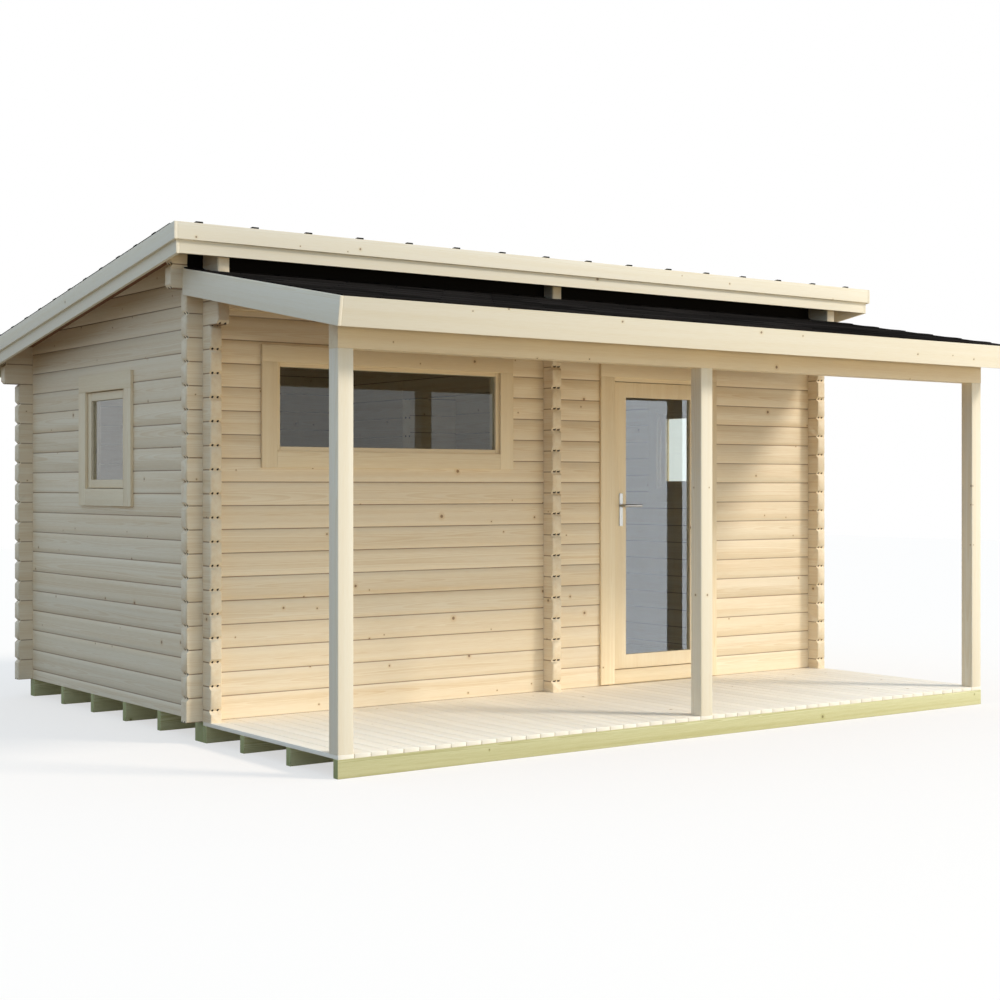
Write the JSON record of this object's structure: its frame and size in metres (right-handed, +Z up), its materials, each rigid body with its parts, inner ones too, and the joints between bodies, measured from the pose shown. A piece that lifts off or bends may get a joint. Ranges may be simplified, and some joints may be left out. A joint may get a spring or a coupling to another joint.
{
  "type": "outdoor sauna",
  "caption": "Log-built outdoor sauna cabin with two rooms, a pent roof that falls to the back, a glazed door and a lower-roofed veranda on posts.",
  "frame": {"origin": "on the ground, under the outer face of the front log wall, halfway along it", "axes": "+X along the front to the right, +Y into the cabin, +Z up"},
  "size_m": [5.4, 4.7823, 2.8667],
  "materials": {
    "spruce_logs": "planed, untreated",
    "spruce_boards": "planed, untreated",
    "soffit_boards": "planed, untreated, in shade",
    "treated_pine": "pressure-treated, greenish",
    "deck_boards": "planed, untreated",
    "bitumen_shingles": "matt, mineral surfaced",
    "window_glass": "clear, polished",
    "satin_steel": "satin"
  },
  "bodies": {
    "building": {"front_wall_left": "spruce_logs", "front_wall_over_door": "spruce_logs", "front_wall_right": "spruce_logs", "left_wall": "spruce_logs", "right_wall": "spruce_logs", "back_wall": "spruce_logs", "partition_front": "spruce_logs", "partition_over_doorway": "spruce_logs", "partition_rear": "spruce_logs", "front_window_casing": "spruce_boards", "front_window_frame": "spruce_boards", "front_window_glass": "window_glass", "left_window_casing": "spruce_boards", "left_window_lining": "spruce_boards", "left_window_sash": "spruce_boards", "left_window_glass": "window_glass", "right_window_casing": "spruce_boards", "right_window_lining": "spruce_boards", "right_window_sash": "spruce_boards", "right_window_glass": "window_glass", "door_casing": "spruce_boards", "door_frame": "spruce_boards", "door_hinges_casing_side": "satin_steel", "cabin_bearers": "treated_pine", "floor_boards": "spruce_boards", "veranda_joists": "treated_pine", "veranda_deck": "deck_boards", "veranda_posts": "spruce_boards", "veranda_beam": "spruce_boards", "veranda_ledger": "spruce_boards", "veranda_rafters": "spruce_boards", "veranda_roof_boards": "soffit_boards", "veranda_shingles": "bitumen_shingles", "veranda_fascia": "spruce_boards", "veranda_bargeboards": "spruce_boards", "main_roof_boards": "soffit_boards", "main_roof_shingles": "bitumen_shingles", "main_front_fascia": "spruce_boards", "main_rear_fascia": "spruce_boards", "main_bargeboard_left": "spruce_boards", "main_bargeboard_right": "spruce_boards"},
    "door": {"door_leaf": "spruce_boards", "door_glass": "window_glass", "door_handle_plates": "satin_steel", "door_hinges_leaf_side": "satin_steel"},
    "lever": {"door_lever": "satin_steel"}
  },
  "joints": [
    {"name": "door_hinge", "type": "hinge", "parent": "building", "child": "door", "pos_m": [1.3125, -0.03, 1.172], "axis": [0, 0, 1], "range_deg": [0, 120]},
    {"name": "lever_turn", "type": "hinge", "parent": "door", "child": "lever", "pos_m": [0.591, 0.022, 1.304], "axis": [0, 1, 0], "range_deg": [0, 45], "stiffness_Nm_per_rad": 1.2, "springref_deg": -28.65}
  ]
}
